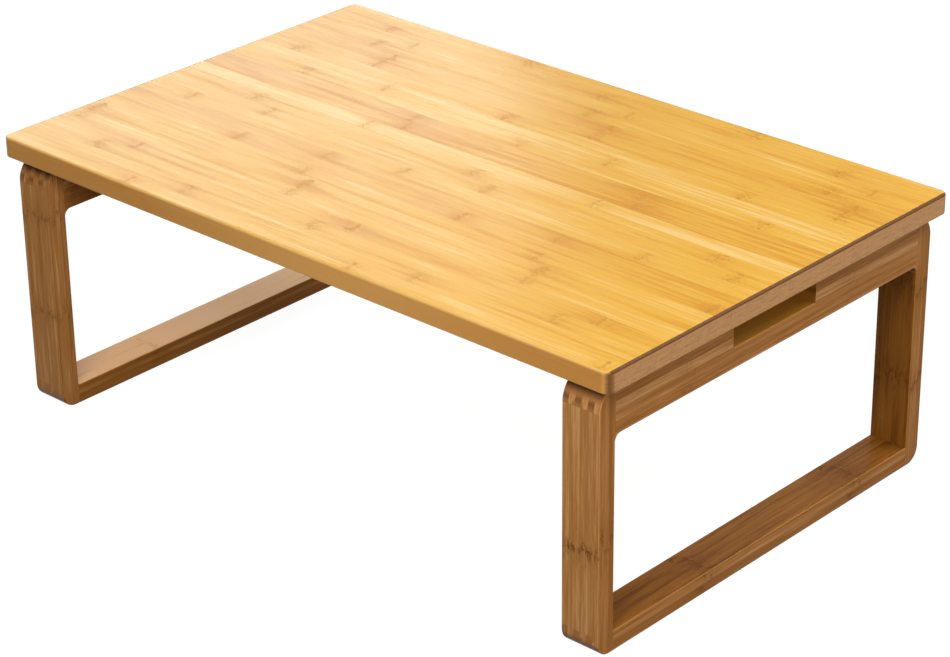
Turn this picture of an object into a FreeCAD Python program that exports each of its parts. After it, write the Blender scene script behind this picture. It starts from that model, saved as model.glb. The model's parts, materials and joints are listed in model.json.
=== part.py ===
import FreeCAD, Part
import math
import os

Vector = FreeCAD.Vector

# Sizes are in millimetres. X runs along the top, Y from front to back and Z up from the
# floor, and the origin is on the floor under the middle of the top.
table_length = 700.0
table_width = 446.0
table_height = 260.0
top_thickness = 19.0
top_corner_radius = 8.0
top_edge_radius = 2.5
underside_edge_radius = 1.0

# A leg loop is a closed frame of four boards that stands across the table near its end.
loop_end_inset = 12.5
loop_side_inset = 5.5
loop_depth = 38.0
board_thickness = 18.5
top_rail_height = 46.5
loop_top_radius = 23.0
loop_bottom_radius = 14.0
window_fillet_radius = 6.5
board_edge_radius = 1.0
hand_slot_width = 108.5
hand_slot_depth = 27.5
slot_edge_radius = 1.2

# The comb joints at the corners of a loop: post and rail fingers take turns along X.
finger_count = 6
top_finger_height = 22.5

# A butt hinge of rolled steel leaves. Its pin lies just inside the loop's inner face and
# just below the top, so that the loop swings in under the top. The insets of hinges,
# catches and pads are measured from the loop's front and rear sides.
hinge_inset = 87.5
hinge_length = 50.0
leaf_width = 26.0
steel_thickness = 1.5
leaf_corner_radius = 3.0
knuckle_count = 5
knuckle_gap = 0.3
pin_radius = 1.5
pin_clearance = 0.05
pin_head_radius = 2.3
pin_head_height = 0.9
running_gap = 0.3

# Countersunk wood screws with a cross recess, for the hinges and the strike plates.
screw_radius = 1.4
screw_length = 13.0
screw_tip_length = 3.0
screw_clearance = 0.05
recess_width = 0.8
recess_length = 3.2
recess_depth = 0.9
screw_row_near = 10.0
screw_row_far = 18.0
screw_spread = 17.0

# Magnetic catches: a steel cup with a magnet in the top rail, a strike plate in the top.
catch_inset = 135.5
cup_radius = 6.0
cup_height = 5.0
cup_wall = 1.0
magnet_height = 3.5
magnet_clearance = 0.05
strike_radius = 7.0
seat_clearance = 0.1

# Foot pads stuck under the bottom rails.
pad_radius = 8.0
pad_thickness = 1.0
pad_inset = 47.5

# How far a cutting tool runs past the face that it cuts, and how near two places have to
# be to count as one when an edge is looked up.
overrun = 1.0
same_place = 0.15

# Places that follow from the sizes
half_width = table_width / 2
underside = table_height - top_thickness
loop_outer = table_length / 2 - loop_end_inset
loop_inner = loop_outer - loop_depth
loop_middle = loop_inner + loop_depth / 2
loop_side = half_width - loop_side_inset
post_inner = loop_side - board_thickness
loop_bottom = pad_thickness
window_bottom = loop_bottom + board_thickness
window_top = underside - top_rail_height
window_middle = (window_bottom + window_top) / 2
window_reach = (window_top - window_bottom) / 2 + overrun
slot_bottom = underside - hand_slot_depth
hinge_reach = loop_side - hinge_inset
catch_reach = loop_side - catch_inset
pad_reach = loop_side - pad_inset

knuckle_radius = pin_radius + pin_clearance + steel_thickness
hinge_offset = knuckle_radius + running_gap
hinge_axis_x = loop_inner - hinge_offset
hinge_axis_z = underside - hinge_offset
leaf_inner = hinge_offset - steel_thickness
knuckle_pitch = hinge_length / knuckle_count
knuckle_relief = knuckle_radius + 2 * running_gap
screw_head_radius = screw_radius + steel_thickness

along_x = Vector(1, 0, 0)
along_y = Vector(0, 1, 0)
up = Vector(0, 0, 1)
sides = {"right": 1, "left": -1}
ends = {"front": -1, "rear": 1}


def block(x, y, z):
    """A box from three pairs of limits, each in either order."""
    low = Vector(min(x), min(y), min(z))
    size = Vector(max(x), max(y), max(z)) - low
    return Part.makeBox(size.x, size.y, size.z, low)


def rod(start, direction, radius, length):
    return Part.makeCylinder(radius, length, start, direction)


def taper(start, direction, start_radius, end_radius, length):
    return Part.makeCone(start_radius, end_radius, length, start, direction)


def edges_where(shape, test):
    """The edges of a shape whose middle point passes a test."""
    found = []
    for edge in shape.Edges:
        middle = edge.valueAt((edge.FirstParameter + edge.LastParameter) / 2)
        if test(middle):
            found.append(edge)
    return found


def near(value, target):
    return abs(value - target) < same_place


def save(name, solids):
    shape = solids if isinstance(solids, Part.Shape) else Part.makeCompound(solids)
    shape.exportStep("parts/" + name + ".step")
    print(name, len(shape.Solids), round(shape.Volume))


# Screws are drawn from the point where their axis meets the face that the head is flush with.
def screw(head, inward, across):
    """A countersunk screw whose head is flush at a point, driven along a direction."""
    shank_length = screw_length - steel_thickness - screw_tip_length
    body = taper(head, inward, screw_head_radius, screw_radius, steel_thickness)
    neck = head + inward * steel_thickness
    body = body.fuse(rod(neck, inward, screw_radius, shank_length))
    tip = neck + inward * shank_length
    body = body.fuse(taper(tip, inward, screw_radius, 0, screw_tip_length))
    other = inward.cross(across)
    for long_way, short_way in ((across, other), (other, across)):
        corner = head - long_way * (recess_length / 2) - short_way * (recess_width / 2)
        path = [corner, corner + long_way * recess_length]
        path += [path[1] + short_way * recess_width, corner + short_way * recess_width, corner]
        slot = Part.Face(Part.makePolygon(path)).extrude(inward * recess_depth)
        body = body.cut(slot)
    return body.removeSplitter()


def screw_hole(head, inward):
    """The countersunk hole in the plate and the pilot hole in the wood for one screw."""
    wide = screw_head_radius + screw_clearance
    narrow = screw_radius + screw_clearance
    hole = taper(head, inward, wide, narrow, steel_thickness)
    length = screw_length + screw_clearance
    return hole.fuse(rod(head, inward, narrow, length))


# A hinge leaf is laid out in its own directions: u away from the pin along the leaf, and w
# from the pin towards the wood that the leaf lies on.
def leaf_frame(side, kind):
    sign = sides[side]
    if kind == "top":
        return along_x * -sign, up
    return up * -1, along_x * sign


def hinge_y(end):
    return ends[end] * hinge_reach


def hinge_pin_point(side, y):
    return Vector(sides[side] * hinge_axis_x, y, hinge_axis_z)


def knuckle_spans(kind):
    """The stretches of the hinge that one leaf's knuckles fill, from its first end."""
    first = 0 if kind == "top" else 1
    spans = []
    for index in range(first, knuckle_count, 2):
        start = index * knuckle_pitch + (knuckle_gap / 2 if index else 0)
        last = index == knuckle_count - 1
        end = (index + 1) * knuckle_pitch - (0 if last else knuckle_gap / 2)
        spans.append((start - hinge_length / 2, end - hinge_length / 2))
    return spans


def leaf_screw_heads(side, kind, y):
    """Where the three screws of a leaf have their heads."""
    along, wood = leaf_frame(side, kind)
    rows = ((-screw_spread, screw_row_near), (0, screw_row_far), (screw_spread, screw_row_near))
    origin = hinge_pin_point(side, y) + wood * leaf_inner
    return [origin + along_y * offset + along * row for offset, row in rows]


def leaf_plate(origin, along, wood):
    """The flat of a leaf, with its two far corners rounded."""
    r = leaf_corner_radius
    half = hinge_length / 2
    slack = r * (1 - math.sqrt(0.5))

    def point(u, y):
        return origin + along * u + along_y * y + wood * leaf_inner

    near_a, near_b = point(knuckle_relief, -half), point(knuckle_relief, half)
    far_a = (point(leaf_width - r, -half), point(leaf_width - slack, slack - half),
             point(leaf_width, r - half))
    far_b = (point(leaf_width, half - r), point(leaf_width - slack, half - slack),
             point(leaf_width - r, half))
    edges = [Part.LineSegment(near_a, far_a[0]), Part.Arc(*far_a),
             Part.LineSegment(far_a[2], far_b[0]), Part.Arc(*far_b),
             Part.LineSegment(far_b[2], near_b), Part.LineSegment(near_b, near_a)]
    wire = Part.Wire([edge.toShape() for edge in edges])
    return Part.Face(wire).extrude(wood * steel_thickness)


def hinge_leaf(side, kind, y):
    """A leaf: its flat, and at each of its knuckles a neck that carries a rolled ring."""
    along, wood = leaf_frame(side, kind)
    origin = hinge_pin_point(side, y)
    leaf = leaf_plate(origin, along, wood)
    for start, end in knuckle_spans(kind):
        ring_start = origin + along_y * start
        ring = rod(ring_start, along_y, knuckle_radius, end - start)
        corner = ring_start + wood * leaf_inner
        far = corner + along * (knuckle_relief + overrun) + wood * steel_thickness
        neck = block((corner.x, far.x), (ring_start.y, ring_start.y + end - start),
                     (corner.z, far.z))
        leaf = leaf.fuse([neck, ring])
    bore_start = origin - along_y * (hinge_length / 2 + overrun)
    bore = rod(bore_start, along_y, pin_radius + pin_clearance, hinge_length + 2 * overrun)
    leaf = leaf.cut(bore)
    for head in leaf_screw_heads(side, kind, y):
        leaf = leaf.cut(screw_hole(head, wood))
    return leaf.removeSplitter()


def hinge_pin(side, y):
    """A plain pin with a low riveted head at each end."""
    origin = hinge_pin_point(side, y)
    half = hinge_length / 2 + pin_clearance
    pin = rod(origin - along_y * half, along_y, pin_radius, 2 * half)
    for way in (along_y, along_y * -1):
        head = taper(origin + way * half, way, pin_head_radius, pin_radius, pin_head_height)
        pin = pin.fuse(head)
    return pin.removeSplitter()


def hinge_screws(side, kind, y):
    wood = leaf_frame(side, kind)[1]
    return [screw(head, wood, along_y) for head in leaf_screw_heads(side, kind, y)]


# The catches: places first, then the pieces on them.
def catch_point(side, end):
    return Vector(sides[side] * loop_middle, ends[end] * catch_reach, underside)


def catch_cup(side, end):
    top = catch_point(side, end)
    cup = rod(top, up * -1, cup_radius, cup_height)
    hollow = rod(top, up * -1, cup_radius - cup_wall, magnet_height)
    return cup.cut(hollow)


def catch_magnet(side, end):
    radius = cup_radius - cup_wall - magnet_clearance
    return rod(catch_point(side, end), up * -1, radius, magnet_height)


def strike_plate(side, end):
    """A round plate let in flush with the underside, over a magnet."""
    bottom = catch_point(side, end)
    plate = rod(bottom, up, strike_radius, steel_thickness)
    return plate.cut(screw_hole(bottom, up))


def strike_screw(side, end):
    return screw(catch_point(side, end), up, along_y)


# The tabletop, with the seats of everything that is let into its underside.
def tabletop():
    half_length = table_length / 2
    top = block((-half_length, half_length), (-half_width, half_width),
                (underside, table_height))
    corners = edges_where(top, lambda p: near(p.z, (underside + table_height) / 2))
    top = top.makeFillet(top_corner_radius, corners)
    rim = edges_where(top, lambda p: near(p.z, table_height))
    top = top.makeFillet(top_edge_radius, rim)
    foot = edges_where(top, lambda p: near(p.z, underside))
    top = top.makeFillet(underside_edge_radius, foot)
    cuts = []
    for side in sides:
        for end in ends:
            for head in leaf_screw_heads(side, "top", hinge_y(end)):
                cuts.append(screw_hole(head, up))
            seat = catch_point(side, end)
            cuts.append(rod(seat, up, strike_radius + seat_clearance, steel_thickness))
            cuts.append(screw_hole(seat, up))
    return top.cut(cuts)


# A loop is drawn whole and then divided into its four boards along the comb joints.
def loop_outline():
    """The loop's outer outline across the table, with its four rounded corners."""
    corners = ((-1, loop_bottom, loop_bottom_radius, 1), (1, loop_bottom, loop_bottom_radius, 1),
               (1, underside, loop_top_radius, -1), (-1, underside, loop_top_radius, -1))
    arcs = []
    for across, level, radius, rise in corners:
        y, z = across * loop_side, level
        inset = radius * (1 - math.sqrt(0.5))
        upright = Vector(0, y, z + rise * radius)
        middle = Vector(0, y - across * inset, z + rise * inset)
        level_end = Vector(0, y - across * radius, z)
        arcs.append((upright, middle, level_end) if across == rise * -1
                    else (level_end, middle, upright))
    edges = []
    for index, arc in enumerate(arcs):
        edges.append(Part.Arc(*arc).toShape())
        following = arcs[(index + 1) % len(arcs)]
        edges.append(Part.LineSegment(arc[2], following[0]).toShape())
    return Part.Face(Part.Wire(edges))


def loop_blank(x_low):
    """The whole loop from its lower X face on, with its window, hand slot and eased edges."""
    x_high = x_low + loop_depth
    blank = loop_outline().extrude(along_x * loop_depth)
    blank.translate(along_x * x_low)

    def on_faces(p):
        return near(p.x, x_low) or near(p.x, x_high)

    blank = blank.makeFillet(board_edge_radius, edges_where(blank, on_faces))
    x_span = (x_low - overrun, x_high + overrun)
    window = block(x_span, (-post_inner, post_inner), (window_bottom, window_top))
    center = x_low + loop_depth / 2
    upper = edges_where(window, lambda p: near(p.z, window_top) and near(p.x, center))
    window = window.makeFillet(window_fillet_radius, upper)
    blank = blank.cut(window)

    def on_window(p):
        inside = abs(p.y) < post_inner + overrun
        return on_faces(p) and inside and abs(p.z - window_middle) < window_reach

    blank = blank.makeFillet(board_edge_radius, edges_where(blank, on_window))
    slot = block(x_span, (-hand_slot_width / 2, hand_slot_width / 2),
                 (slot_bottom, underside + overrun))
    blank = blank.cut(slot)
    lips = edges_where(blank, lambda p: on_faces(p) and near(p.z, slot_bottom))
    return blank.makeFillet(slot_edge_radius, lips)


def rail_fingers(x_low, end, z_low, z_high):
    """The boxes that a rail's fingers take out of the post at one end of it."""
    pitch = loop_depth / finger_count
    y = (ends[end] * post_inner, ends[end] * loop_side)
    return [block((x_low + index * pitch, x_low + (index + 1) * pitch), y, (z_low, z_high))
            for index in range(0, finger_count, 2)]


def loop_boards(side):
    """The four boards of a loop, by name."""
    x_low = loop_inner if side == "right" else -loop_outer
    x_span = (x_low, x_low + loop_depth)
    blank = loop_blank(x_low)
    finger_foot = underside - top_finger_height
    boards = {}
    top_space = block(x_span, (-post_inner, post_inner), (window_middle, underside))
    bottom_space = block(x_span, (-post_inner, post_inner), (loop_bottom, window_middle))
    for end in ends:
        top_comb = rail_fingers(x_low, end, finger_foot, underside)
        bottom_comb = rail_fingers(x_low, end, loop_bottom, window_bottom)
        post_space = block(x_span, (ends[end] * post_inner, ends[end] * loop_side),
                           (loop_bottom, underside))
        boards[end + "_post"] = blank.common(post_space.cut(top_comb + bottom_comb))
        top_space = top_space.fuse(top_comb)
        bottom_space = bottom_space.fuse(bottom_comb)
    boards["top_rail"] = drilled_rail(side, blank.common(top_space.removeSplitter()))
    boards["bottom_rail"] = blank.common(bottom_space.removeSplitter())
    return boards


def drilled_rail(side, rail):
    """The top rail with the seats of its catches and the pilot holes of its hinges."""
    cuts = []
    for end in ends:
        cuts.append(rod(catch_point(side, end), up * -1, cup_radius + seat_clearance,
                        cup_height))
        wood = leaf_frame(side, "leg")[1]
        for head in leaf_screw_heads(side, "leg", hinge_y(end)):
            cuts.append(screw_hole(head, wood))
    return rail.cut(cuts)


def foot_pad(side, end):
    place = Vector(sides[side] * loop_middle, ends[end] * pad_reach, 0)
    return rod(place, up, pad_radius, pad_thickness)


os.makedirs("parts", exist_ok=True)
save("tabletop", tabletop())
for side in sides:
    for name, board in loop_boards(side).items():
        save(name + "_" + side, board)
    for end in ends:
        place = side + "_" + end
        for kind in ("top", "leg"):
            save("hinge_" + kind + "_leaf_" + place, hinge_leaf(side, kind, hinge_y(end)))
            save("hinge_" + kind + "_screws_" + place, hinge_screws(side, kind, hinge_y(end)))
        save("hinge_pin_" + place, hinge_pin(side, hinge_y(end)))
        save("catch_cup_" + place, catch_cup(side, end))
        save("catch_magnet_" + place, catch_magnet(side, end))
        save("strike_plate_" + place, strike_plate(side, end))
        save("foot_pad_" + place, foot_pad(side, end))
    save("strike_screws_" + side, [strike_screw(side, end) for end in ends])
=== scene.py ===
# %% [markdown]
# # A low bamboo table that folds
#
# The table is a laminated bamboo top on two closed leg loops, which fold in under it on
# butt hinges. The construction comes in as a fixed frame: every board, hinge leaf, pin and
# screw is there at its real size and place, in metres. This file gives each of them its
# finish, rounds off what a maker would round off, and lights the result as a studio would.

# %% Load the frame
import json
import math
from collections import namedtuple

import bpy
import numpy as np
from mathutils import Matrix, Vector

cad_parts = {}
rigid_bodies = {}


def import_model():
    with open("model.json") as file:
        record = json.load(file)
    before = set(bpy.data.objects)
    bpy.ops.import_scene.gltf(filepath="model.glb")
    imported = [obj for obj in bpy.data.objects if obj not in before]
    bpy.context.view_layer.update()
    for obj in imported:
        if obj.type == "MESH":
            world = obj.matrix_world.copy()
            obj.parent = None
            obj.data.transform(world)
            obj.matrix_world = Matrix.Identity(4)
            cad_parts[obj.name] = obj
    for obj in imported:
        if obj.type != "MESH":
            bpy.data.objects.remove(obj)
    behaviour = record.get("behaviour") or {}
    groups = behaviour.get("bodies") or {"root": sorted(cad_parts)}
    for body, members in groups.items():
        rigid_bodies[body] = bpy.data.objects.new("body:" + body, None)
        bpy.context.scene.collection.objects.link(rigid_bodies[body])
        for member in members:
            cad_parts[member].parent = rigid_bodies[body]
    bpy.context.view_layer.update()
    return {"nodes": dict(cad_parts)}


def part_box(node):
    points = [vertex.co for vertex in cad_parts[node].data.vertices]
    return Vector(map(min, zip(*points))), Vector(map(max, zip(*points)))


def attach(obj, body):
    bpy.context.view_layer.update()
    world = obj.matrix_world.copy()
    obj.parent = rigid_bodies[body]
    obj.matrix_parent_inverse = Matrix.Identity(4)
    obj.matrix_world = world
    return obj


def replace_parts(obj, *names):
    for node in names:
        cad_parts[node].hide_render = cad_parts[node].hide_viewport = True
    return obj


for leftover in list(bpy.data.objects):
    bpy.data.objects.remove(leftover)
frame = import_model()
mm = 0.001
print("pieces in the frame:", len(frame["nodes"]))

# %% [markdown]
# ## The camera
#
# The table is seen from its front right corner, from a little above. A long lens, far
# away, keeps the legs nearly upright. The camera could be parented to an empty and aimed
# by a constraint, but it is plainer to build its rotation from where it looks: forward is
# the line of sight, right is level, and a small roll turns both about the line of sight.

# %% Aim the camera
view_turn = math.radians(42.563)
view_drop = math.radians(26.414)
view_roll = math.radians(-0.645)
view_distance = 2.6482
view_target = Vector((0.0139, -0.0033, 0.1061))
sensor_width_mm = 36
lens_length_mm = 113.766
nearest, farthest = 0.05, 60


def aim_camera(name, target, turn, drop, roll, distance):
    """A camera at a distance from its target. Turn goes round from the front, drop is how
    far it looks down, and roll leans it to one side, all in radians."""
    forward = Vector((-math.sin(turn) * math.cos(drop), math.cos(turn) * math.cos(drop),
                      -math.sin(drop)))
    level = forward.cross(Vector((0, 0, 1))).normalized()
    right = (Matrix.Rotation(-roll, 3, forward) @ level).normalized()
    above = right.cross(forward)
    data = bpy.data.cameras.new(name)
    camera = bpy.data.objects.new(name, data)
    bpy.context.scene.collection.objects.link(camera)
    turned = Matrix((right, above, -forward)).transposed()
    camera.matrix_world = Matrix.Translation(target - forward * distance) @ turned.to_4x4()
    return camera


camera = aim_camera("Camera", view_target, view_turn, view_drop, view_roll, view_distance)
camera.data.sensor_width = sensor_width_mm
camera.data.lens = lens_length_mm
camera.data.clip_start = nearest
camera.data.clip_end = farthest
bpy.context.scene.camera = camera
print("camera at", [round(x, 3) for x in camera.location])

# %% [markdown]
# ## Shader sums
#
# A material here is arithmetic on a point of the surface: how far along the grain, how far
# across a strip. Drawn by hand that is dozens of Math nodes with wires between them. A
# small class lets the same nodes be written as sums, so that the formula can be read.

# %% Wires that add and multiply
class Wire:
    """A value on its way through a node tree. Arithmetic on wires adds Math nodes."""

    def __init__(self, tree, socket):
        self.tree = tree
        self.socket = socket

    def math(self, operation, *others):
        node = self.tree.nodes.new("ShaderNodeMath")
        node.operation = operation
        for place, value in zip(node.inputs, (self, *others)):
            plug(self.tree, place, value)
        return Wire(self.tree, node.outputs[0])

    def __add__(self, other):
        return self.math("ADD", other)

    def __sub__(self, other):
        return self.math("SUBTRACT", other)

    def __rsub__(self, other):
        return -self + other

    def __mul__(self, other):
        return self.math("MULTIPLY", other)

    def __truediv__(self, other):
        return self.math("DIVIDE", other)

    def __neg__(self):
        return self.math("MULTIPLY", -1.0)

    def floor(self):
        return self.math("FLOOR")

    def fraction(self):
        return self.math("FRACT")

    def size(self):
        return self.math("ABSOLUTE")

    def above(self, other):
        return self.math("MAXIMUM", other)

    def below(self, other):
        return self.math("MINIMUM", other)

    def bell(self, width):
        """1 where the value is 0, falling off to both sides like a bell of that width."""
        return (self / width).math("POWER", 2.0).math("MULTIPLY", -1.0).math("EXPONENT")

    def ramp(self, start, end):
        """0 below start, 1 above end, and a smooth slope between them."""
        node = self.tree.nodes.new("ShaderNodeMapRange")
        node.interpolation_type = "SMOOTHSTEP"
        for label, value in (("Value", self), ("From Min", start), ("From Max", end)):
            plug(self.tree, node.inputs[label], value)
        return Wire(self.tree, node.outputs[0])


def plug(tree, socket, value):
    """Links a wire to a socket, or sets the socket to a plain value."""
    if isinstance(value, Wire):
        tree.links.new(value.socket, socket)
    elif value is not None:
        socket.default_value = value


# %% Textures, mixes and groups
def together(x, y, z):
    """One vector out of three wires or numbers."""
    tree = next(part.tree for part in (x, y, z) if isinstance(part, Wire))
    node = tree.nodes.new("ShaderNodeCombineXYZ")
    for place, value in zip(node.inputs, (x, y, z)):
        plug(tree, place, value)
    return Wire(tree, node.outputs[0])


def apart(vector):
    """The three parts of a vector."""
    node = vector.tree.nodes.new("ShaderNodeSeparateXYZ")
    plug(vector.tree, node.inputs[0], vector)
    return [Wire(vector.tree, out) for out in node.outputs]


def noise(vector, detail=2.0, roughness=0.5):
    """Smooth noise from 0 to 1, one bump for each unit of the vector."""
    node = vector.tree.nodes.new("ShaderNodeTexNoise")
    plug(vector.tree, node.inputs["Vector"], vector)
    for label, value in (("Scale", 1.0), ("Detail", detail), ("Roughness", roughness)):
        node.inputs[label].default_value = value
    return Wire(vector.tree, node.outputs[0])


def chance(vector):
    """A number from 0 to 1 that is the same wherever the vector is the same."""
    node = vector.tree.nodes.new("ShaderNodeTexWhiteNoise")
    plug(vector.tree, node.inputs["Vector"], vector)
    return Wire(vector.tree, node.outputs["Value"])


def seam_lines(cells, pitch, width):
    """Thin lines where one cell meets the next. Cells counts strips, plies or fingers, each
    of them is pitch wide, and the lines fall off over their width."""
    from_seam = 0.5 - (cells.fraction() - 0.5).size()
    return (from_seam * pitch).bell(width)


def blend_colour(share, first, second):
    """The first colour at share 0 and the second at share 1."""
    node = share.tree.nodes.new("ShaderNodeMix")
    node.data_type = "RGBA"
    colours = [socket for socket in node.inputs if socket.type == "RGBA"]
    plug(share.tree, node.inputs[0], share)
    plug(share.tree, colours[0], first)
    plug(share.tree, colours[1], second)
    return Wire(share.tree, next(out for out in node.outputs if out.type == "RGBA"))


def new_group(name, inputs, outputs):
    """An empty shader group. Returns its tree, its inputs as wires and a way to set outputs."""
    tree = bpy.data.node_groups.new(name, "ShaderNodeTree")
    for label, kind, value in inputs:
        socket = tree.interface.new_socket(label, in_out="INPUT", socket_type=kind)
        socket.default_value = value
    for label, kind in outputs:
        tree.interface.new_socket(label, in_out="OUTPUT", socket_type=kind)
    start = tree.nodes.new("NodeGroupInput")
    end = tree.nodes.new("NodeGroupOutput")
    given = {out.name: Wire(tree, out) for out in start.outputs if out.name}

    def finish(**results):
        for label, value in results.items():
            plug(tree, end.inputs[label.replace("_", " ")], value)

    return tree, given, finish


def use_group(tree, group, **values):
    """Places a group in a tree. Returns its outputs as wires, by name."""
    node = tree.nodes.new("ShaderNodeGroup")
    node.node_tree = group
    for label, value in values.items():
        plug(tree, node.inputs[label.replace("_", " ")], value)
    return {out.name: Wire(tree, out) for out in node.outputs}


number, vector_kind, colour = "NodeSocketFloat", "NodeSocketVector", "NodeSocketColor"

# %% [markdown]
# ## How bamboo boards are made
#
# A bamboo board is no plank. Canes are split, and their walls are planed to strips about
# 19 mm wide and 6 mm thick. Strips are glued side by side into plies, and plies on top of
# each other into boards. So a board shows three patterns: fine fibres that run along it,
# strips that each have a tone of their own, and the nodes of the cane, which cross each
# strip every 26 cm or so as a scribble of dark flecks. A photograph wrapped round the board
# would show them on its broad face only. Here the board is a solid: each point of space
# knows its ply, its strip and its place along the strip, so that faces, edges and the
# insides of slots agree with each other.

# %% The strip group: one strip of cane from its own coordinates
# In millimetres: over what range a node's line bows and wobbles, how wide its ridge is, and
# how far from it the flecks and the shade reach. Knots never quite hide the wood under them.
node_bow, node_wobble, ridge_width = 7.0, 9.0, 0.9
fleck_reach, shade_reach = 7.5, 22.0
most_knot = 0.8
# How much each pattern moves a strip between dark and pale, and over what range of the noise
# the strips take their places.
tone_share, broad_share, streak_share, fibre_share = 0.33, 1.25, 1.2, 0.45
node_shade_share, node_glow_share = 0.5, 0.16
noise_range = 91.0


def make_strip_group():
    """Colour and relief of a planed strip. The noise is pulled out along the grain, which
    makes fibres. The node marks fade with the distance to the nearest node."""
    tree, given, finish = new_group(
        "planed_strip",
        [("Along", number, 0.0), ("Side", number, 0.0), ("Across", number, 0.0),
         ("Deep", number, 0.0), ("Number", number, 0.0), ("Tone", number, 0.0),
         ("First Node", number, 0.0), ("Node Spacing", number, 265.0),
         ("Node Strength", number, 1.0), ("Node Softness", number, 1.0),
         ("Grain Strength", number, 1.0), ("Pale", colour, (1, 1, 1, 1)),
         ("Middle", colour, (0.5, 0.5, 0.5, 1)), ("Dark", colour, (0.2, 0.2, 0.2, 1)),
         ("Knot", colour, (0.1, 0.1, 0.1, 1))],
        [("Color", colour), ("Height", number), ("Dry", number)])
    along, side, across = given["Along"], given["Side"], given["Across"]
    seed = given["Number"] * noise_range

    turns = (along - given["First Node"]) / given["Node Spacing"]
    from_node = (turns - (turns + 0.5).floor()) * given["Node Spacing"]

    side_place = side + seed * 3.0
    deep_place = given["Deep"] - seed * 2.0

    def grain(length, width, detail):
        place = together(along / length, side_place / width, deep_place / width)
        return noise(place, detail, roughness=0.58)

    broad = grain(length=130.0, width=4.5, detail=3.0)
    streaks = grain(length=85.0, width=2.6, detail=2.0)
    fibres = grain(length=16.0, width=0.55, detail=2.0)

    soft = given["Node Softness"]
    wobble = noise(together(side / (soft * 2.6), seed, along / 40.0), 2.0, 0.6) - 0.5
    bow = (given["Number"] - 0.5) * node_bow
    bent = from_node + (1.0 - across * across) * bow + wobble * node_wobble
    breaks = noise(together(side / 1.1, seed, from_node / 3.0), 2.0, 0.6)
    ridge = bent.bell(soft * ridge_width) * breaks.ramp(0.38, 0.52)
    spot = together(from_node / (soft * 4.0) + seed, side / (soft * 1.5), deep_place / 1.5)
    speckle = noise(spot, 2.0, 0.65)
    flecks = speckle.ramp(soft * -0.08 + 0.61, soft * 0.02 + 0.58) * from_node.bell(fleck_reach)
    shade = (-from_node.size() / shade_reach).math("EXPONENT")
    shade = shade * (streaks * 0.6 + speckle * 0.4).ramp(0.36, 0.62)

    strength = given["Node Strength"]
    glow = (bent - 2.0).bell(1.6) * strength
    level = given["Tone"] * tone_share + 0.5
    lines = (fibres - 0.5) * given["Grain Strength"] * fibre_share
    lines = (streaks - 0.5) * streak_share + lines
    level = level + (broad - 0.5) * broad_share + lines
    level = level - shade * strength * node_shade_share + glow * node_glow_share
    tint = blend_colour(level.ramp(-1.0, 0.0), given["Knot"], given["Dark"])
    tint = blend_colour(level.ramp(0.0, 0.5), tint, given["Middle"])
    tint = blend_colour(level.ramp(0.5, 1.0), tint, given["Pale"])
    knots = ((flecks + ridge / soft) * strength * 0.8).below(most_knot)
    tint = blend_colour(knots, tint, given["Knot"])
    height = fibres * 0.6 + streaks * 0.3 - ridge * strength * 0.15
    finish(Color=tint, Height=height, Dry=knots * 0.7 - (broad - 0.5) * 0.8 + 0.5)
    return tree


strip_group = make_strip_group()
print("strip group:", len(strip_group.nodes), "nodes")

# %% [markdown]
# ## End grain
#
# Cut across, a strip shows its fibre bundles as dots, crowded towards the side that was
# the skin of the cane. Noise alone would give clouds and no dots. A Voronoi pattern has a
# centre in each of its cells, so what lies near the centres makes the dots.

# %% The end grain group
def make_end_group():
    """Colour of a sawn end. Dots are the places near the centres of Voronoi cells, and
    every strip is shaded from its skin side to its pith side."""
    tree, given, finish = new_group(
        "sawn_end",
        [("Side", number, 0.0), ("Deep", number, 0.0), ("Number", number, 0.0),
         ("Within", number, 0.0), ("Light", colour, (1, 1, 1, 1)),
         ("Dark", colour, (0.2, 0.2, 0.2, 1))],
        [("Color", colour)])
    place = together(given["Side"] / 1.0, given["Deep"] / 0.8, given["Number"] * 31.0)
    cells = tree.nodes.new("ShaderNodeTexVoronoi")
    plug(tree, cells.inputs["Vector"], place)
    cells.inputs["Scale"].default_value = 1.0
    dots = Wire(tree, cells.outputs["Distance"]).ramp(0.45, 0.15)
    clouds = noise(together(given["Side"] / 14.0, given["Deep"] / 1.5, given["Number"] * 17.0),
                   3.0, 0.6)
    share = dots * (given["Within"] * 0.3 + 0.2) + (clouds - 0.5) * 2.2 + given["Within"] * 0.2
    tint = blend_colour(share.above(0.0).below(1.0), given["Light"], given["Dark"])
    finish(Color=tint)
    return tree


end_group = make_end_group()
print("end group:", len(end_group.nodes), "nodes")

# %% [markdown]
# ## The lacquer
#
# The boards are sanded fine and sprayed with a satin lacquer. It evens out the shine of
# dark and pale fibres without hiding them, and it dries with a very faint ripple. A group
# gives its roughness and the ripple, so that top and legs get the same coat.

# %% The lacquer group
def make_lacquer_group():
    """Roughness and relief of a satin coat: wide clouds where more or less of it lies,
    and the relief of the wood under it, pressed flat."""
    tree, given, finish = new_group(
        "satin_lacquer",
        [("Place", vector_kind, (0.0, 0.0, 0.0)), ("Wood Height", number, 0.0),
         ("Dry", number, 0.0), ("Shine", number, 0.4)],
        [("Roughness", number), ("Height", number)])
    x, y, z = apart(given["Place"])
    clouds = noise(together(x / 70.0, y / 70.0, z / 70.0), 2.0)
    ripple = noise(together(x / 2.2, y / 2.2, z / 2.2), 1.0)
    rough = given["Shine"] + (clouds - 0.5) * 0.08 + (given["Dry"] - 0.5) * 0.3
    finish(Roughness=rough.above(0.15).below(0.9),
           Height=given["Wood Height"] * 0.6 + ripple * 0.4)
    return tree


lacquer_group = make_lacquer_group()
print("lacquer group:", len(lacquer_group.nodes), "nodes")

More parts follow.
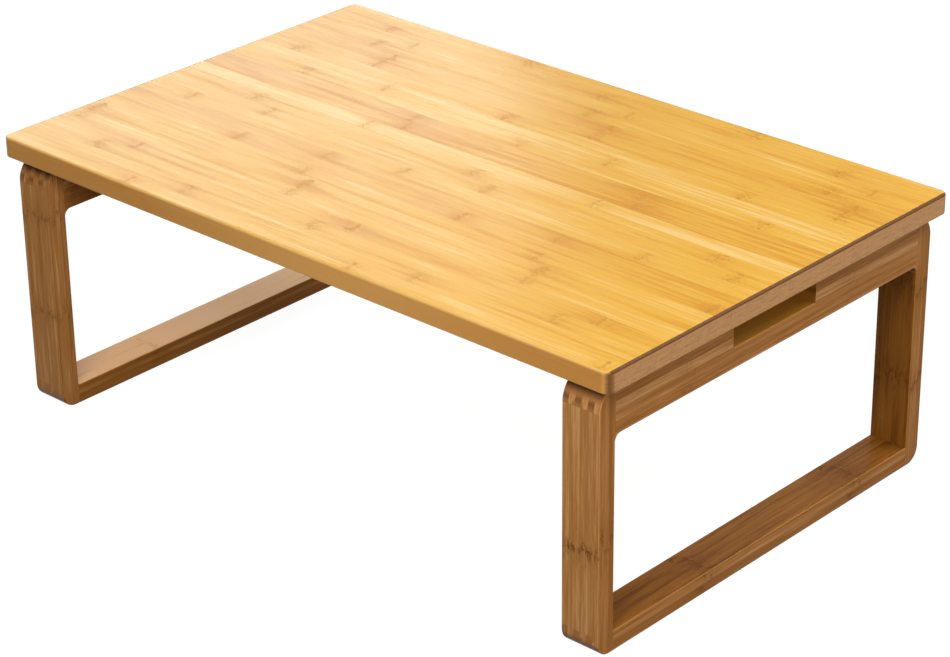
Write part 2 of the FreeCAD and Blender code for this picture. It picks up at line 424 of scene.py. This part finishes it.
# %% Materials: common parts
# How deep the relief of the lacquer, of the scratches in steel and of rubber is, in metres.
lacquer_relief, scratch_relief, rubber_relief = 0.02 * mm, 0.004 * mm, 0.04 * mm


def new_material(name):
    """A material with an empty tree, its Principled shader and the shader's sockets."""
    material = bpy.data.materials.new(name)
    material.use_nodes = True
    tree = material.node_tree
    tree.nodes.clear()
    shader = tree.nodes.new("ShaderNodeBsdfPrincipled")
    end = tree.nodes.new("ShaderNodeOutputMaterial")
    tree.links.new(shader.outputs[0], end.inputs["Surface"])
    return material, tree, shader


def place_and_facing(tree):
    """Where a point is in millimetres, and which way its surface faces, in the table's own
    axes, so that the pattern stays put when a loop swings."""
    node = tree.nodes.new("ShaderNodeTexCoord")
    scaled = tree.nodes.new("ShaderNodeVectorMath")
    scaled.operation = "SCALE"
    scaled.inputs["Scale"].default_value = 1 / mm
    tree.links.new(node.outputs["Object"], scaled.inputs[0])
    return Wire(tree, scaled.outputs[0]), apart(Wire(tree, node.outputs["Normal"]))


def relief(tree, shader, height, depth):
    """Bumps the shader's normal by a height wire. Depth is the relief's real depth in metres."""
    bump = tree.nodes.new("ShaderNodeBump")
    bump.inputs["Distance"].default_value = depth
    plug(tree, bump.inputs["Height"], height)
    tree.links.new(bump.outputs[0], shader.inputs["Normal"])


def lacquer(tree, shader, place, look, shine, mirror):
    """Coats the wood: shine is the roughness of the lacquer, and mirror its specular level."""
    coat = use_group(tree, lacquer_group, Place=place, Wood_Height=look["Height"],
                     Dry=look["Dry"], Shine=shine)
    plug(tree, shader.inputs["Roughness"], coat["Roughness"])
    shader.inputs["Specular IOR Level"].default_value = mirror
    relief(tree, shader, coat["Height"], lacquer_relief)


def rgb(red, green, blue):
    return (red, green, blue, 1.0)


# %% [markdown]
# ## The top
#
# The top is three plies of flat strips. Which strips are pale and where each has its nodes
# is what makes one panel differ from the next, so that is a choice made strip by strip, and
# written down as one. A colour ramp with constant steps carries the list into the shader:
# one step for each strip, with its tone in red and the place of its first node in green.

# %% The layout of the top's strips, from the back edge to the front
strip_tones = [0.0, -0.2, 0.15, -0.1, -0.4, -0.15, 0.2, 0.75, 0.3, -0.75, -0.6, 1.0,
               0.0, 0.1, 0.25, -0.5, -0.45, 0.1, 0.0, 0.3, -0.35, 0.0, -0.1, 0.3]
first_node_shares = [0.9, 0.3, 0.47, 0.36, 0.49, 0.5, 0.17, 0.68, 0.35, 0.94, 0.97, 0.86,
                     0.4, 0.52, 0.22, 0.95, 0.6, 0.97, 0.05, 0.06, 0.4, 0.3, 0.8, 0.6]
strip_count = len(strip_tones)
top_low, top_high = (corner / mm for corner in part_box("tabletop"))
top_width = top_high.y - top_low.y
top_strip = top_width / strip_count
ply_count = 3
top_ply = (top_high.z - top_low.z) / ply_count
print("strips", strip_count, "of", round(top_strip, 2), "mm; plies of", round(top_ply, 2), "mm")


def look_up(tree, share, *rows):
    """Looks up to three lists up at once: a share from 0 to 1 picks the step, and each list
    gives the value of that step as a wire. The values run from -1 to 1."""
    node = tree.nodes.new("ShaderNodeValToRGB")
    ramp = node.color_ramp
    ramp.interpolation = "CONSTANT"
    steps = len(rows[0])
    for index in range(steps):
        stop = ramp.elements[index] if index < 2 else ramp.elements.new(index / steps)
        stop.position = index / steps
        shares = [(row[index] + 1) / 2 for row in rows]
        stop.color = shares + [0] * (3 - len(shares)) + [1]
    plug(tree, node.inputs["Fac"], share)
    split = tree.nodes.new("ShaderNodeSeparateColor")
    tree.links.new(node.outputs["Color"], split.inputs[0])
    return [Wire(tree, out) * 2.0 - 1.0 for out in split.outputs][:len(rows)]


# %% The top's material
honey = {"Pale": rgb(0.84, 0.54, 0.165), "Middle": rgb(0.75, 0.40, 0.035),
         "Dark": rgb(0.63, 0.27, 0.008), "Knot": rgb(0.50, 0.20, 0.006)}
sawn_light, sawn_dark = rgb(0.56, 0.29, 0.115), rgb(0.31, 0.14, 0.043)
edge_brown = rgb(0.75, 0.32, 0.09)
edge_gold = rgb(0.95, 0.50, 0.14)
# The pale colour below is a painted highlight for the upper arris of the long edges.
arris_highlight = rgb(0.95, 0.66, 0.28)
# A dark brown for the end's upper rim and for the corners.
rim_dark = rgb(0.13, 0.045, 0.008)
glue_brown = rgb(0.22, 0.09, 0.025)
node_spacing = 265.0
# Each ply is shifted by this share of a strip, and the end shows blocks of four strips.
ply_shift = 0.43
block_strips = 4.0
# The front edge is goldenest here along its length, in millimetres, and over this reach.
gold_middle, gold_reach = 60.0, 165.0


def make_top_material():
    """The top: strips and plies, sawn ends, darkened corners, and long edges with a painted
    highlight on their upper arris.
    """
    material, tree, shader = new_material("bamboo_top")
    place, facing = place_and_facing(tree)
    x, y, z = apart(place)
    back_share = (top_high.y - y) / top_width
    strips = back_share * strip_count
    plies = (top_high.z - z) / top_ply
    ply = plies.floor().above(0.0).below(ply_count - 1)
    inner = ply.above(0.0).below(1.0)
    strip = (strips + ply * ply_shift).floor()
    across = (strips + ply * ply_shift).fraction() * 2.0 - 1.0
    luck = chance(together(strip, ply, 1.0))
    tone, first = look_up(tree, back_share, strip_tones, first_node_shares)
    tone = tone + (luck * 2.0 - 1.0 - tone) * inner - ply.below(1.0) * 0.4
    first = first + (luck - first) * inner
    look = use_group(tree, strip_group, Along=x + top_high.x, Side=y, Across=across, Deep=z,
                     Number=luck, Tone=tone, First_Node=first * node_spacing,
                     Node_Spacing=node_spacing, Grain_Strength=0.2, **honey)
    blocks = strips / block_strips
    end = use_group(tree, end_group, Side=y, Deep=z, Number=blocks.floor(),
                    Within=plies.fraction(), Light=sawn_light, Dark=sawn_dark)

    sideways = facing[0].size()
    endways = facing[1].size() * -1.2 + sideways
    ends = sideways.ramp(0.3, 0.55)
    corner = (sideways - 0.8).bell(0.25) * facing[1].size().ramp(0.05, 0.2)
    long_edge = facing[1].size().ramp(0.6, 0.95)
    arris = facing[1].size().ramp(0.12, 0.45) * facing[2].ramp(0.15, 0.45)
    round_over = endways.ramp(0.05, 0.18) * facing[2].ramp(0.04, 0.2)
    seam = seam_lines(strips, top_strip, width=0.22)
    block = seam_lines(blocks, top_strip * block_strips, width=0.5)
    # Painted highlight: the upper arris of the long edges is paler, as if it caught the light.
    tint = blend_colour(arris * 0.5, look["Color"], arris_highlight)
    tint = blend_colour(long_edge * 0.65, tint, edge_brown)
    gold = long_edge * (x - gold_middle).bell(gold_reach)
    tint = blend_colour(gold * 0.85, tint, edge_gold)
    tint = blend_colour(ends, tint, end["Color"])
    # The end's upper rim and the corners where the long edges turn into the ends are darker.
    tint = blend_colour((round_over * 0.95).above(corner * 0.8), tint, rim_dark)
    tint = blend_colour(seam * 0.16 + block * ends * 0.15, tint, glue_brown)
    plug(tree, shader.inputs["Base Color"], tint)
    lacquer(tree, shader, place, look, shine=0.26, mirror=0.10)
    return material


top_material = make_top_material()
print("top material:", len(top_material.node_tree.nodes), "nodes")

# %% [markdown]
# ## The leg boards
#
# The loops are of the same cane, steamed until it has browned. Each board is a stack of
# plies, two strips wide. On a post the grain is upright and on a rail it is level, so each
# board says which way its grain runs and which way its plies are stacked. The boards meet
# in comb joints: post and rail fingers take turns, and show end grain beside long grain
# with a hairline of glue between them. One rail is painted paler towards its rear end, as
# painted light.

# %% Sizes of the loops, from the frame
# In millimetres, and not from the frame: how tall the fingers of a top corner are, how far
# the hand slot reaches to each side, how wide a strip is and where the first whole one is.
top_finger_height = 22.5
slot_reach = 55.0
leg_strip = 30.0
strip_start = 8.0
post_low, post_high = (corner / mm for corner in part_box("front_post_right"))
rail_low, rail_high = (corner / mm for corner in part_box("top_rail_right"))
foot_low, foot_high = (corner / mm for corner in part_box("bottom_rail_right"))
loop_depth = post_high.x - post_low.x
loop_reach = rail_high.y
post_inner = -post_high.y
board_thickness = foot_high.z - foot_low.z
finger_count = 6
finger_pitch = loop_depth / finger_count
finger_foot = rail_high.z - top_finger_height
print("loop depth", round(loop_depth, 2), "mm, post from", round(post_inner, 2), "to",
      round(loop_reach, 2), "mm")

# %% The leg boards' colours, and how pale each ply of a board is
steamed = {"Pale": rgb(0.70, 0.37, 0.14), "Middle": rgb(0.485, 0.21, 0.056),
           "Dark": rgb(0.33, 0.126, 0.016), "Knot": rgb(0.14, 0.045, 0.006)}
leg_sawn_light, leg_sawn_dark = rgb(0.47, 0.20, 0.058), rgb(0.30, 0.115, 0.026)
# A dark brown for glue soaked into end grain, and for painted shade on the loops' corners and on
# what faces down.
soak_and_shade = rgb(0.10, 0.036, 0.010)
# An olive that stands in for yellow light bounced into the hand slot: painted light.
slot_bounce_light = rgb(0.48, 0.23, 0.022)
# The pale colour that the left bottom rail takes towards its rear end, as painted light.
painted_light_pale = rgb(0.88, 0.53, 0.24)
# The left bottom rail is painted paler between these places along it, in millimetres: painted
# light towards its rear end.
lit_start, lit_end = -170.0, 130.0
post_plies = [0.1, -0.1, -0.6]
top_rail_plies = [0.3, -0.7, 0.6, 0.4, -0.4, 0.5]
bottom_rail_plies = [-0.4, 0.8, -0.7, -0.5]
print("plies of a post", len(post_plies), "top rail", len(top_rail_plies), "bottom rail",
      len(bottom_rail_plies))

# %% Joint lines and dark places of a leg board
# In millimetres: how wide the glue lines are, how soft the ends of the lines are, and where
# above the finger ends and how far the glue has soaked in.
beside_width, foot_width, shoulder_width = 0.25, 0.3, 0.35
line_blur = 0.2
soak_height, soak_reach = 5.5, 3.0


def comb_lines(x, y, z, loop_start):
    """Hairlines of glue at the comb joints: where the fingers' sides meet, where the
    fingers end, and where a rail's body meets the post."""
    reach = y.size()
    fingers = (x - loop_start) / finger_pitch
    beside = seam_lines(fingers, finger_pitch, beside_width)
    inside_loop = fingers.ramp(0.4, 0.5) * (finger_count - fingers).ramp(0.4, 0.5)
    in_post = reach.ramp(post_inner - line_blur, post_inner)
    in_foot = z.ramp(foot_high.z + line_blur, foot_high.z)
    in_comb = (z.ramp(finger_foot - line_blur, finger_foot) + in_foot).below(1.0)
    foot_line = (z - finger_foot).bell(foot_width) + (z - foot_high.z).bell(foot_width)
    foot_line = foot_line.below(1.0) * in_post * (finger_count - 1 - fingers).ramp(-0.1, 0.0)
    in_rail = (z.ramp(rail_low.z - line_blur, rail_low.z) + in_foot).below(1.0)
    shoulder = (reach - post_inner).bell(shoulder_width) * in_rail
    return (beside * inside_loop * in_post * in_comb + foot_line + shoulder).below(1.0)


def dark_places(name, y, z, facing):
    """Where a board is darker: on the rounded corners of the loops, which are cut across the grain
    and are darkened further as painted shade; as painted shade on what faces down; and where glue
    has soaked into the ends of a top rail's fingers."""
    # The loops' rounded corners are cut across the grain, and are darkened further as painted
    # shade.
    corners = facing[2].size().ramp(0.3, 0.65) * y.size().ramp(post_inner - 0.5, post_inner + 0.5)
    # Painted shade: what faces down is darker.
    below = (-facing[2]).ramp(0.15, 0.5)
    dark = (corners * 0.6).above(below * 0.75)
    if "top_rail" in name:
        soaked_in = (z - finger_foot - soak_height).bell(soak_reach)
        dark = dark.above(soaked_in * facing[1].size().ramp(0.5, 0.8) * 0.55)
    return dark


# %% The leg boards' material
# In millimetres: the nodes of two strips of a board lie up to this far apart.
node_drift = 22.0
Board = namedtuple("Board", ["name", "seed", "shade", "first_node", "spacing", "nodes", "edge",
                             "side_shade"])


def grain_of(name, y, z, facing):
    """Where a point is along a board's grain and how far its surface faces that way, then
    how deep it lies in the stack of plies, how high the stack is and the tones of its plies.
    Posts have their grain along Z and are stacked along Y, and rails the other way round."""
    if "post" in name:
        stack = loop_reach - y.size() if "front" in name else y.size() - post_inner
        return z, facing[2], stack, board_thickness, post_plies
    if "top" in name:
        return y, facing[1], rail_high.z - z, rail_high.z - rail_low.z, top_rail_plies
    return y, facing[1], foot_high.z - z, board_thickness, bottom_rail_plies


def make_leg_material(board):
    """A leg board's material, from what the board's row in the list below says."""
    name, seed = board.name, board.seed
    material, tree, shader = new_material(name)
    place, facing = place_and_facing(tree)
    x, y, z = apart(place)
    loop_start = post_low.x if "right" in name else -post_high.x
    strips = (x - loop_start - strip_start) / leg_strip
    along, along_facing, stack, height, ply_tones = grain_of(name, y, z, facing)
    ply_thickness = height / len(ply_tones)
    plies = stack / ply_thickness
    ply = plies.floor()
    ply_tone, = look_up(tree, stack / height, ply_tones)
    side_face = facing[0].size().ramp(0.4, 0.8)
    luck = chance(together(strips.floor(), ply, seed))
    other_luck = chance(together(strips.floor(), ply, seed + 0.5))
    # The plied faces take their plies' tones and a painted light or shade of their own, and each
    # board's shade is partly painted light and shade too.
    side_tone = (ply_tone * 1.2 + board.side_shade) * side_face
    tone = (other_luck - 0.5) * 0.9 + side_tone + board.shade
    palette = dict(steamed)
    # Painted light: the left bottom rail grows paler towards its rear end.
    if name == "bottom_rail_left":
        palette["Pale"] = blend_colour(y.ramp(lit_start, lit_end), steamed["Pale"], painted_light_pale)
    drift = chance(together(strips.floor(), ply.above(0.5), seed + 0.7)) - 0.5
    look = use_group(tree, strip_group, Along=along, Side=x,
                     Across=strips.fraction() * 2.0 - 1.0, Deep=stack, Number=luck, Tone=tone,
                     First_Node=drift * node_drift + board.first_node,
                     Node_Spacing=board.spacing, Node_Strength=board.nodes, Node_Softness=1.9,
                     Grain_Strength=1.5, **palette)
    end = use_group(tree, end_group, Side=x, Deep=stack, Number=luck, Within=plies.fraction(),
                    Light=leg_sawn_light, Dark=leg_sawn_dark)
    ends = along_facing.size().ramp(0.12, 0.6)
    ply_line = seam_lines(plies, ply_thickness, width=0.45) * side_face
    seam = seam_lines(strips, leg_strip, width=0.25)
    largest = facing[0].size().above(facing[1].size()).above(facing[2].size())
    arris = largest.ramp(0.97, 0.80)
    tint = blend_colour(ends, look["Color"], end["Color"])
    # Painted highlight on the arrises where the board's edge is above 0; below 0 the arrises are
    # darker instead.
    arris_highlight_or_dark = steamed["Pale"] if board.edge > 0 else soak_and_shade
    tint = blend_colour(arris * abs(board.edge), tint, arris_highlight_or_dark)
    lines = comb_lines(x, y, z, loop_start) * 0.22 + ply_line * 0.2 + seam * 0.15
    tint = blend_colour(lines.below(0.8), tint, glue_brown)
    if "top_rail" in name:
        # Painted bounce light: the inside of the hand slot is tinted olive.
        in_slot = (slot_reach - y.size()).ramp(0.0, 0.5) * (1.0 - side_face)
        tint = blend_colour(in_slot * 0.85, tint, slot_bounce_light)
    # Painted shade on the loops' corners and on what faces down, together with the real soaked
    # finger ends.
    tint = blend_colour(dark_places(name, y, z, facing), tint, soak_and_shade)
    plug(tree, shader.inputs["Base Color"], tint)
    lacquer(tree, shader, place, look, shine=0.38, mirror=0.07)
    return material


# %% The eight boards
# Each row has the board's name, its seed, its shade from dark to pale, the place of one node
# along the grain and the spacing of the others in millimetres, how strong the node marks
# are, how strong the painted highlight on its arrises is (or how dark they are, below 0) and
# what is added to its shade where it shows its plies. Each shade is partly the board's own
# tone and partly painted light and shade for how lit the board stands, and what is added on
# the plied faces is painted light and shade for how those faces are lit.
leg_boards = [Board("front_post_right", 1.0, 0.7, 101.0, 260.0, 0.75, 0.3, -1.1),
              Board("rear_post_right", 2.0, -2.4, 168.0, 90.0, 0.8, 0.3, 1.6),
              Board("top_rail_right", 3.0, 0.4, -110.0, 215.0, 0.25, 0.3, -0.8),
              Board("bottom_rail_right", 4.0, -2.8, -82.0, 205.0, 0.9, 0.3, 2.3),
              Board("front_post_left", 5.0, 0.5, 186.0, 96.0, 0.45, -0.5, -0.3),
              Board("rear_post_left", 6.0, -0.8, 120.0, 240.0, 0.8, 0.3, 0.0),
              Board("top_rail_left", 7.0, -0.6, 60.0, 240.0, 0.5, 0.3, 0.0),
              Board("bottom_rail_left", 8.0, 1.5, -95.0, 250.0, 0.22, 0.3, -2.7)]
leg_materials = {board.name: make_leg_material(board) for board in leg_boards}
print("leg materials:", len(leg_materials))

# %% [markdown]
# ## Steel, magnets and pads
#
# The hinges are stamped from bright zinc plate: rolled stock with fine scratches along it
# and a little bloom where hands have not rubbed it. Metal takes nearly all of its look from
# what it reflects, so its colour stays plain, and the scratches go into its roughness.

# %% The worked steel group
def make_steel_group():
    """Roughness, colour share and relief of plated steel: scratches are noise pulled out
    along Y, and bloom is slow clouds."""
    tree, given, finish = new_group(
        "plated_steel",
        [("Place", vector_kind, (0.0, 0.0, 0.0)), ("Rough", number, 0.3),
         ("Scratches", number, 1.0)],
        [("Roughness", number), ("Bloom", number), ("Height", number)])
    x, y, z = apart(given["Place"])
    scratch = noise(together(x / 0.16, y / 6.0, z / 0.16), 2.0, 0.6)
    bloom = noise(together(x / 5.0, y / 5.0, z / 5.0), 3.0, 0.6)
    rough = given["Rough"] + (scratch - 0.5) * 0.2 * given["Scratches"] + (bloom - 0.5) * 0.16
    finish(Roughness=rough.above(0.08), Bloom=bloom, Height=scratch * given["Scratches"])
    return tree


steel_group = make_steel_group()
print("steel group:", len(steel_group.nodes), "nodes")


def make_metal(name, bright, dull, rough, scratches):
    """A plated metal, from its bright and dull colours, its roughness and its scratches."""
    material, tree, shader = new_material(name)
    place, _ = place_and_facing(tree)
    worked = use_group(tree, steel_group, Place=place, Rough=rough, Scratches=scratches)
    tint = blend_colour(worked["Bloom"].ramp(0.3, 0.75), bright, dull)
    plug(tree, shader.inputs["Base Color"], tint)
    plug(tree, shader.inputs["Roughness"], worked["Roughness"])
    shader.inputs["Metallic"].default_value = 1.0
    relief(tree, shader, worked["Height"], scratch_relief)
    return material


# Each row has a metal's name, its bright and its dull colour, its roughness and how strong
# its scratches are.
metal_kinds = [
    ("hinge_steel", rgb(0.66, 0.66, 0.63), rgb(0.50, 0.50, 0.49), 0.34, 1.0),
    ("pin_steel", rgb(0.60, 0.59, 0.56), rgb(0.46, 0.45, 0.43), 0.28, 0.5),
    ("screw_steel", rgb(0.72, 0.66, 0.50), rgb(0.55, 0.49, 0.35), 0.3, 0.4),
    ("catch_steel", rgb(0.58, 0.58, 0.57), rgb(0.45, 0.45, 0.45), 0.3, 0.8),
    ("magnet_nickel", rgb(0.70, 0.67, 0.62), rgb(0.60, 0.57, 0.53), 0.16, 0.2)]
metals = {kind[0]: make_metal(*kind) for kind in metal_kinds}
print("metals:", sorted(metals))


# %% The pads' rubber
def make_rubber():
    """Dark rubber, dusty in the grain of its skin."""
    material, tree, shader = new_material("pad_rubber")
    place, _ = place_and_facing(tree)
    x, y, z = apart(place)
    skin = noise(together(x / 0.5, y / 0.5, z / 0.5), 3.0, 0.6)
    dust = noise(together(x / 4.0, y / 4.0, z / 4.0), 3.0, 0.6)
    tint = blend_colour((dust * skin).ramp(0.2, 0.45), rgb(0.022, 0.021, 0.02),
                        rgb(0.085, 0.078, 0.066))
    plug(tree, shader.inputs["Base Color"], tint)
    plug(tree, shader.inputs["Roughness"], skin * 0.3 + 0.6)
    relief(tree, shader, skin, rubber_relief)
    return material


rubber = make_rubber()
print("rubber:", len(rubber.node_tree.nodes), "nodes")

# %% Give every piece of the frame its material
# The first of these words that a piece's name has in it says which metal the piece is of.
# A piece with none of them is rubber.
metal_words = [("screws", "screw_steel"), ("pin", "pin_steel"), ("leaf", "hinge_steel"),
               ("cup", "catch_steel"), ("strike", "catch_steel"), ("magnet", "magnet_nickel")]


def finish_of(name):
    """The material of a CAD node, by its name."""
    if name == "tabletop":
        return top_material
    if name in leg_materials:
        return leg_materials[name]
    for word, kind in metal_words:
        if word in name:
            return metals[kind]
    return rubber


for name, piece in frame["nodes"].items():
    for place in piece.material_slots:
        place.material = finish_of(name)
print("dressed:", len(frame["nodes"]), "nodes")

# %% [markdown]
# ## The foot pads
#
# Four thin rubber discs keep the bottom rails off the floor. A moulded pad has a rounded
# rim and a shallow dish underneath, and no sharp corner. It is a turned shape, so it could
# be spun with a modifier. Working it out as rings of points keeps it closed, with every
# face outwards, and it fills exactly the place that the frame has for it.

# %% Turn a profile about an upright line
sharp_edge = math.radians(40)
# Where the floor of a pad's dish and the dish itself end, as shares of the pad's radius, and
# how deep the dish is, as a share of the rim's roundness.
dish_floor, dish_end, dish_depth = 0.5, 0.6, 0.3


def turned_mesh(name, radii, heights, middle, steps=56):
    """Ring i has the radius radii[i] at the height heights[i], and its point at turn a is
    the middle plus radius * (cos a, sin a). Flat caps close the first and the last ring."""
    turns = np.linspace(0, 2 * np.pi, steps, endpoint=False)
    circle = np.stack([np.cos(turns), np.sin(turns)], -1)
    points = np.empty((len(radii), steps, 3))
    points[..., :2] = np.array(radii)[:, None, None] * circle + np.array(middle)
    points[..., 2] = np.array(heights)[:, None]
    corner = np.arange(points.shape[0] * steps).reshape(-1, steps)
    following = np.roll(corner, -1, axis=1)
    sides = np.stack([corner[:-1], following[:-1], following[1:], corner[1:]], -1)
    faces = sides.reshape(-1, 4).tolist() + [corner[0, ::-1].tolist(), corner[-1].tolist()]
    mesh = bpy.data.meshes.new(name)
    mesh.from_pydata(points.reshape(-1, 3).tolist(), [], faces)
    mesh.shade_smooth()
    mesh.set_sharp_from_angle(angle=sharp_edge)
    return mesh


def make_pad(node):
    """A rubber pad in the place of a plain disc of the frame."""
    low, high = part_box(node)
    middle = (low + high) / 2
    radius = (high.x - low.x) / 2
    rim = (high.z - low.z) / 2
    quarter = np.linspace(0, np.pi / 2, 7)
    radii = [radius * dish_floor, radius * dish_end,
             *(radius - rim + rim * np.sin(quarter)), radius]
    heights = [low.z + rim * dish_depth, low.z, *(low.z + rim - rim * np.cos(quarter)), high.z]
    name = node.replace("foot_pad", "rubber_foot")
    pad = bpy.data.objects.new(name, turned_mesh(name, radii, heights, middle[:2]))
    bpy.context.scene.collection.objects.link(pad)
    pad.data.materials.append(rubber)
    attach(pad, node.split("_")[2] + "_loop")
    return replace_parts(pad, node)


pads = [make_pad(node) for node in sorted(frame["nodes"]) if node.startswith("foot_pad")]
print("pads:", [pad.name for pad in pads])

# %% [markdown]
# ## The studio
#
# A white sweep would throw light up under the table and lift its shadows. So the floor and
# the world are white to the camera, also in what steel and lacquer mirror, and darker to
# the light that bounces.

# %% The floor and the backdrop
# How bright the floor and the world are to the camera, and how bright the world is to the
# light that bounces. The reach is in metres, and the gap is between feet and floor.
floor_seen, world_seen, world_bounced = 0.94, 0.93, 0.07
floor_reach = 25.0
floor_gap = 0.3 * mm


def make_floor(reach):
    """A square floor, just under the feet."""
    level = -floor_gap
    corners = [(-reach, -reach, level), (reach, -reach, level), (reach, reach, level),
               (-reach, reach, level)]
    mesh = bpy.data.meshes.new("Floor")
    mesh.from_pydata(corners, [], [(0, 1, 2, 3)])
    floor = bpy.data.objects.new("Floor", mesh)
    bpy.context.scene.collection.objects.link(floor)
    return floor


def seen(tree):
    """1 for what the camera sees, straight on, mirrored or through something clear, and 0
    for the light that bounces."""
    path = tree.nodes.new("ShaderNodeLightPath")
    direct = Wire(tree, path.outputs["Is Camera Ray"])
    through = Wire(tree, path.outputs["Is Transmission Ray"])
    mirrored = Wire(tree, path.outputs["Is Glossy Ray"])
    return (direct + through + mirrored).below(1.0)


def make_floor_material():
    """Paper that glows to the camera and is dark to the light that bounces."""
    material, tree, shader = new_material("floor_paper")
    tint = blend_colour(seen(tree), rgb(0.14, 0.10, 0.035), rgb(0.15, 0.15, 0.15))
    plug(tree, shader.inputs["Base Color"], tint)
    shader.inputs["Roughness"].default_value = 1.0
    shader.inputs["Specular IOR Level"].default_value = 0.0
    shader.inputs["Emission Color"].default_value = rgb(1, 1, 1)
    plug(tree, shader.inputs["Emission Strength"], seen(tree) * floor_seen)
    return material


floor = make_floor(floor_reach)
floor.data.materials.append(make_floor_material())

world = bpy.data.worlds.new("Studio")
world.use_nodes = True
bpy.context.scene.world = world
sky = world.node_tree
sky_light = sky.nodes["Background"]
sky_light.inputs["Color"].default_value = rgb(1, 1, 1)
plug(sky, sky_light.inputs["Strength"], seen(sky) * world_seen + world_bounced)
print("floor reaches", floor_reach, "m each way")

# %% [markdown]
# ## The lamps
#
# Five soft boxes. The key stands in front and lights the edges and the fronts of the posts.
# One hangs over the back right corner for the top, and one on the right reaches the end
# boards. One on the left looks in past the end of the top at the rail on the floor. The one
# behind on the left is what the lacquer mirrors: it makes the top pale at that end and
# leaves it golden at the other. It hangs high, so that a low camera doesn't meet its glare.

# %% Place the soft boxes
def soft_box(name, place, aim, width, height, watts):
    """A rectangular white lamp that faces a point."""
    data = bpy.data.lights.new(name, "AREA")
    data.shape = "RECTANGLE"
    data.size = width
    data.size_y = height
    data.energy = watts
    lamp = bpy.data.objects.new(name, data)
    bpy.context.scene.collection.objects.link(lamp)
    turned = (Vector(aim) - Vector(place)).to_track_quat("-Z", "Y")
    lamp.matrix_world = Matrix.Translation(place) @ turned.to_matrix().to_4x4()


def round_table(turn, rise, distance):
    """A place round the table: degrees from the front, degrees up, and metres away."""
    a, e = math.radians(turn), math.radians(rise)
    out = Vector((math.sin(a) * math.cos(e), -math.cos(a) * math.cos(e), math.sin(e)))
    return out * distance


# Name, place, aim, width and height in metres, and watts.
soft_box("Key", round_table(25, 45, 2.3), (0, 0, 0.15), 1.1, 0.9, 27.5)
soft_box("Overhead", (0.9, 0.95, 1.5), (0.25, 0.15, 0.25), 1.1, 1.1, 18.5)
soft_box("Back left", round_table(-122.4, 26, 2.8), (0, 0, 0.2), 1.6, 0.7, 16.5)
soft_box("Right side", round_table(75, 20, 3.0), (0, 0, 0.1), 1.2, 1.0, 26)
soft_box("Left", (-2.1, 0.3, 1.5), (-0.3, 0, 0.1), 1.0, 0.8, 14)

bpy.context.scene.view_settings.view_transform = "Standard"
